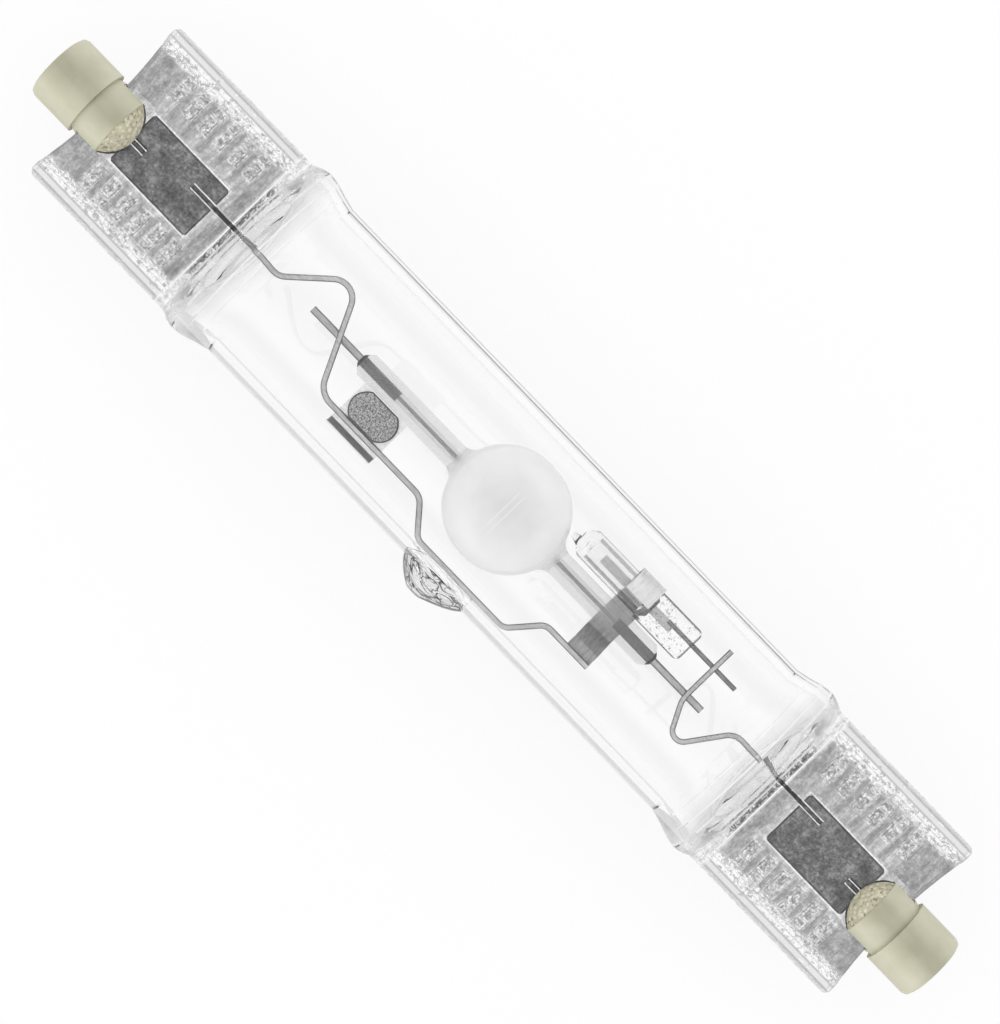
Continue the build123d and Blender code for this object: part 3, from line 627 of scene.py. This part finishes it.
def powder(name, dark, light, depth_mm):
    grit = Shader(name)
    dust = grit.noise(5.6, detail=4.0, roughness=0.8)
    grit.set(Roughness=0.85)
    grit.set(Base_Color=grit.ramp(dust, (0.35, dark), (0.65, light)))
    grit.set(Normal=grit.bump(grit.cells(4.0), 0.9, depth_mm))
    return grit.material


# Each node of the part gets the material of its slot

SMOOTH_ANGLE = radians(32)
JACKET_SMOOTH_ANGLE = radians(48)

slots = {
    "quartz": quartz(),
    "molybdenum_foil": foil(),
    # The second colour given to drawn_wire is the painted shade on its sides
    "molybdenum_wire": drawn_wire("molybdenum_wire", grey(60), grey(90), grey(130), LEAD_SEAL),
    "cap_ceramic": cap_ceramic(),
    "cap_cement": cement(),
    "contact_metal": metal("contact_metal", rgb(180, 178, 172), rgb(210, 208, 204), 0.25),
    "frame_metal": drawn_wire("frame_metal", grey(100), grey(160), grey(195), LEAD_SEAL),
    "arc_ceramic": alumina(),
    "niobium": drawn_wire("niobium", grey(100), grey(150), grey(180), NEVER_SEALED),
    "frit": powder("frit", grey(50), grey(74), 0.03),
    "tungsten": metal("tungsten", grey(110), grey(140), 0.35),
    "mercury": metal("mercury", grey(200), grey(214), 0.05),
    "halide_salt": powder("halide_salt", rgb(190, 170, 110), rgb(226, 210, 160), 0.05),
    "getter_metal": metal("getter_metal", grey(215), grey(240), 0.3, metallic=0.85),
    "getter_powder": getter_powder(),
    "strip_metal": strip_metal(),
}
own_looks = {
    "glow_bottle": bottle_quartz(),
    "glow_foil": metal("glow_foil_metal", grey(176), grey(205), 0.4),
}
smooth_angles = {"outer_jacket": JACKET_SMOOTH_ANGLE}

for subpart in frame["record"]["subparts"]:
    name = subpart["node"]
    mesh = nodes[name].data
    look = own_looks.get(name, slots[subpart["material_slot"]])
    for index in range(len(mesh.materials)):
        mesh.materials[index] = look
    mesh.shade_smooth()
    mesh.set_sharp_from_angle(angle=smooth_angles.get(name, SMOOTH_ANGLE))


# Floor, light and camera

FLOOR_RADIUS = 1.2
FLOOR_GLOW = 0.85  # the floor's share of plain white, where it is seen
SKY_STRENGTH = 1.35
# From straight down to straight up: darker near the horizon, so that glass edges show
SKY_LEVELS = (
    (0.0, 0.7),
    (0.45, 0.6),
    (0.52, 0.42),
    (0.62, 0.5),
    (0.78, 1.0),
    (0.9, 0.95),
    (1.0, 0.8),
)
PICTURE_RIGHT = (0.6947, 0.7193)  # the picture's right as a direction on the floor
PICTURE_OFFSET = (0.484 * MM, 0.537 * MM)  # right and up
CAMERA_DISTANCE = 0.42
PICTURE_WIDTH = 110.07 * MM
SENSOR_WIDTH = 36


def floor():
    bpy.ops.mesh.primitive_circle_add(
        vertices=96, radius=FLOOR_RADIUS, fill_type="NGON", location=(0, 0, cad_box[0][2])
    )
    ground = bpy.context.object
    ground.name = "floor"
    paint = Shader("floor_paint")
    paint.set(Base_Color=share(0.86), Roughness=0.9)
    rays = paint.node("ShaderNodeLightPath").outputs
    seen = paint.either(rays["Is Camera Ray"], rays["Is Glossy Ray"])
    seen = paint.either(seen, rays["Is Transmission Ray"])
    glow = paint.node("ShaderNodeEmission", {"Color": WHITE, "Strength": 1.0})
    blend = paint.node("ShaderNodeMixShader", {0: paint.both(seen, FLOOR_GLOW)})
    paint.put(blend.inputs[1], paint.surface.outputs[0])
    paint.put(blend.inputs[2], glow.outputs[0])
    paint.put(paint.tree.nodes["Material Output"].inputs["Surface"], blend.outputs[0])
    ground.data.materials.append(paint.material)


def studio():
    """Soft light from all sides, and plain white where the camera sees it."""
    world = bpy.data.worlds.new("studio")
    world.use_nodes = True
    bpy.context.scene.world = world
    tree = world.node_tree
    background = tree.nodes["Background"]
    direction = tree.nodes.new("ShaderNodeTexCoord")
    split = tree.nodes.new("ShaderNodeSeparateXYZ")
    upward = tree.nodes.new("ShaderNodeMapRange")
    sky = tree.nodes.new("ShaderNodeValToRGB")
    rays = tree.nodes.new("ShaderNodeLightPath")
    pick = tree.nodes.new("ShaderNodeMix")
    upward.inputs["From Min"].default_value = -1.0
    fill_ramp(sky.color_ramp, [(place, share(level)) for place, level in SKY_LEVELS])
    pick.data_type = "RGBA"
    pick.inputs[MIX_SECOND].default_value = share(1.0 / SKY_STRENGTH)
    background.inputs["Strength"].default_value = SKY_STRENGTH
    tree.links.new(direction.outputs["Generated"], split.inputs[0])
    tree.links.new(split.outputs["Z"], upward.inputs["Value"])
    tree.links.new(upward.outputs[0], sky.inputs["Fac"])
    tree.links.new(rays.outputs["Is Camera Ray"], pick.inputs[MIX_AMOUNT])
    tree.links.new(sky.outputs["Color"], pick.inputs[MIX_FIRST])
    tree.links.new(pick.outputs[MIX_RESULT], background.inputs["Color"])


def camera():
    """Straight down on the lamp, turned so that it lies from upper left to lower right."""
    right_x, right_y = PICTURE_RIGHT
    offset_right, offset_up = PICTURE_OFFSET
    view = bpy.data.cameras.new("camera")
    view.sensor_width = SENSOR_WIDTH
    view.lens = SENSOR_WIDTH * CAMERA_DISTANCE / PICTURE_WIDTH
    view.clip_start = 0.01
    eye = bpy.data.objects.new("camera", view)
    eye.location = (
        offset_right * right_x - offset_up * right_y,
        offset_right * right_y + offset_up * right_x,
        CAMERA_DISTANCE,
    )
    eye.rotation_euler = (0, 0, atan2(right_y, right_x))
    bpy.context.collection.objects.link(eye)
    bpy.context.scene.camera = eye


floor()
studio()
camera()
bpy.context.scene.view_settings.view_transform = "Standard"
